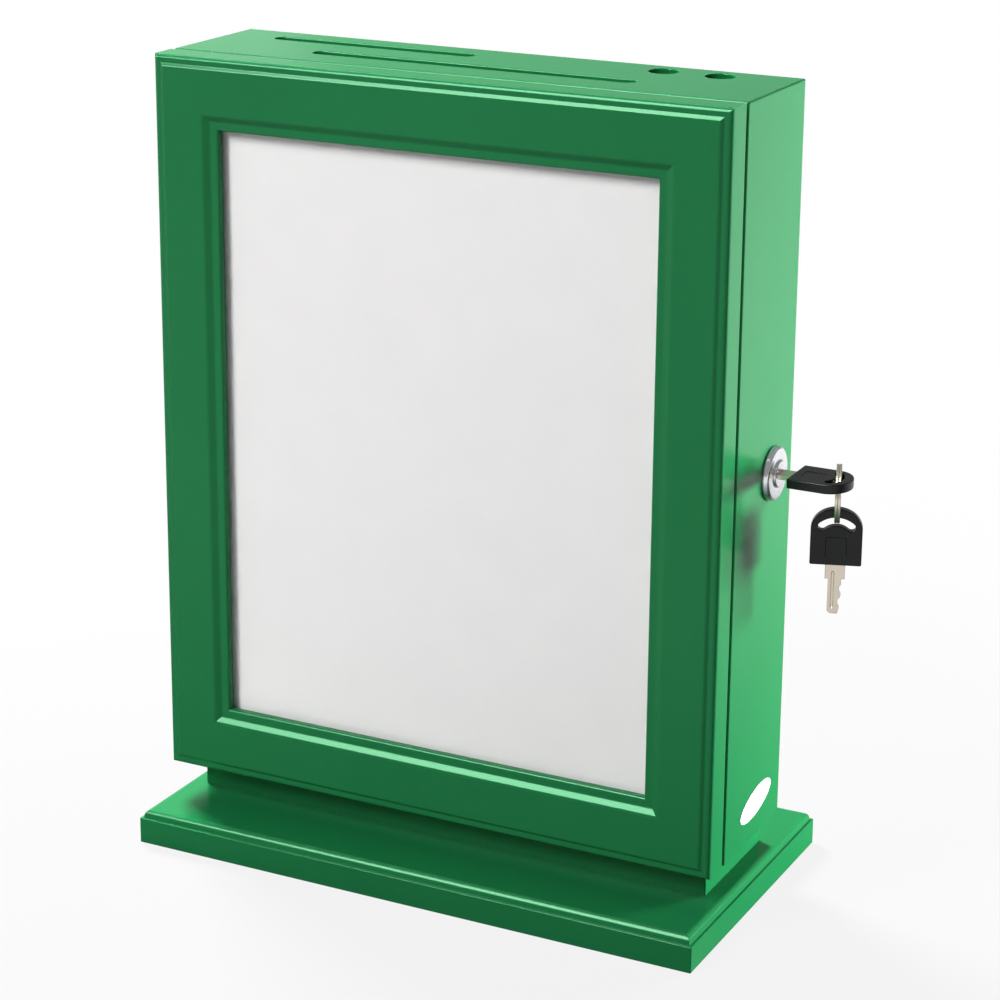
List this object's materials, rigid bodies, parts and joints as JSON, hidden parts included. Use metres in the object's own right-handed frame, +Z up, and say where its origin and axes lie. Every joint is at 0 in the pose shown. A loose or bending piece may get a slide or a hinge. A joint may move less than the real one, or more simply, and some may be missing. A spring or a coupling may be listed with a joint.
{
  "type": "suggestion box",
  "caption": "Tall painted box on a moulded base, with a lockable display door, slots and pen holes in its top and a cam lock with keys in its side.",
  "frame": {"origin": "centre of the base board's underside, which stands on the table", "axes": "+X to the right as one faces the door, towards the lock side; +Y to the back; +Z up"},
  "size_m": [0.3172, 0.146, 0.3676],
  "materials": {
    "green_paint": "smooth satin green paint on board",
    "bare_board": "bare hardboard",
    "paper": "matt pale grey paper",
    "clear_plastic": "clear polished sheet",
    "zinc_steel": "zinc-plated steel",
    "chrome": "polished chrome",
    "nickel": "nickel plate",
    "black_plastic": "moulded black plastic"
  },
  "bodies": {
    "cabinet": {"base_board": "green_paint", "plinth_block": "green_paint", "bottom_board": "green_paint", "top_board": "green_paint", "left_side_board": "green_paint", "right_side_board": "green_paint", "back_board": "green_paint", "pocket_floor": "bare_board", "pocket_partition": "bare_board", "upper_hinge_cabinet_leaf": "zinc_steel", "upper_hinge_pin": "zinc_steel", "lower_hinge_cabinet_leaf": "zinc_steel", "lower_hinge_pin": "zinc_steel", "upper_hinge_cabinet_screw_1": "zinc_steel", "upper_hinge_cabinet_screw_2": "zinc_steel", "lower_hinge_cabinet_screw_1": "zinc_steel", "lower_hinge_cabinet_screw_2": "zinc_steel", "lock_housing": "chrome", "lock_nut": "zinc_steel", "oval_label": "paper", "base_screw_1": "zinc_steel", "base_screw_2": "zinc_steel", "base_screw_3": "zinc_steel", "base_screw_4": "zinc_steel"},
    "door": {"door_left_stile": "green_paint", "door_right_stile": "green_paint", "door_top_rail": "green_paint", "door_bottom_rail": "green_paint", "clear_cover": "clear_plastic", "display_sheet": "paper", "door_backing": "bare_board", "turn_button_1_screw": "zinc_steel", "turn_button_2_screw": "zinc_steel", "turn_button_3_screw": "zinc_steel", "turn_button_4_screw": "zinc_steel", "upper_hinge_door_leaf": "zinc_steel", "lower_hinge_door_leaf": "zinc_steel", "upper_hinge_door_screw_1": "zinc_steel", "upper_hinge_door_screw_2": "zinc_steel", "lower_hinge_door_screw_1": "zinc_steel", "lower_hinge_door_screw_2": "zinc_steel", "lock_keeper": "zinc_steel", "strike_pin": "zinc_steel", "keeper_screw_1": "zinc_steel", "keeper_screw_2": "zinc_steel"},
    "turn_button_1": {"turn_button_1": "zinc_steel"},
    "turn_button_2": {"turn_button_2": "zinc_steel"},
    "turn_button_3": {"turn_button_3": "zinc_steel"},
    "turn_button_4": {"turn_button_4": "zinc_steel"},
    "lock_plug": {"lock_plug": "chrome", "hook_cam": "zinc_steel", "cam_screw": "zinc_steel"},
    "key_1": {"key_1_blade": "nickel", "key_1_bow": "black_plastic"},
    "key_ring": {"key_ring": "nickel"},
    "key_2": {"key_2_blade": "nickel", "key_2_bow": "black_plastic"}
  },
  "joints": [
    {"name": "door_hinge", "type": "hinge", "parent": "cabinet", "child": "door", "pos_m": [-0.1395, -0.0331, 0.1998], "axis": [0, 0, -1], "range_deg": [0, 180]},
    {"name": "lock_turn", "type": "hinge", "parent": "cabinet", "child": "lock_plug", "pos_m": [0.1368, 0.0093, 0.1998], "axis": [1, 0, 0], "range_deg": [0, 90]},
    {"name": "key_1_slide", "type": "slide", "parent": "lock_plug", "child": "key_1", "axis": [1, 0, 0], "range_m": [0, 0.025]},
    {"name": "ring_swing", "type": "hinge", "parent": "key_1", "child": "key_ring", "pos_m": [0.16357, 0.01925, 0.1998], "axis": [0.9455, 0.3256, 0], "range_deg": [-12, 12]},
    {"name": "key_2_swing", "type": "hinge", "parent": "key_ring", "child": "key_2", "pos_m": [0.16357, 0.01925, 0.1798], "axis": [0.3256, -0.9455, 0], "range_deg": [-30, 75]},
    {"name": "turn_button_1_turn", "type": "hinge", "parent": "door", "child": "turn_button_1", "pos_m": [-0.1155, -0.0332, 0.2926], "axis": [0, 1, 0], "range_deg": [-90, 90]},
    {"name": "turn_button_2_turn", "type": "hinge", "parent": "door", "child": "turn_button_2", "pos_m": [-0.1155, -0.0332, 0.107], "axis": [0, 1, 0], "range_deg": [-90, 90]},
    {"name": "turn_button_3_turn", "type": "hinge", "parent": "door", "child": "turn_button_3", "pos_m": [0.1155, -0.0332, 0.2926], "axis": [0, 1, 0], "range_deg": [-90, 90]},
    {"name": "turn_button_4_turn", "type": "hinge", "parent": "door", "child": "turn_button_4", "pos_m": [0.1155, -0.0332, 0.107], "axis": [0, 1, 0], "range_deg": [-90, 90]}
  ]
}
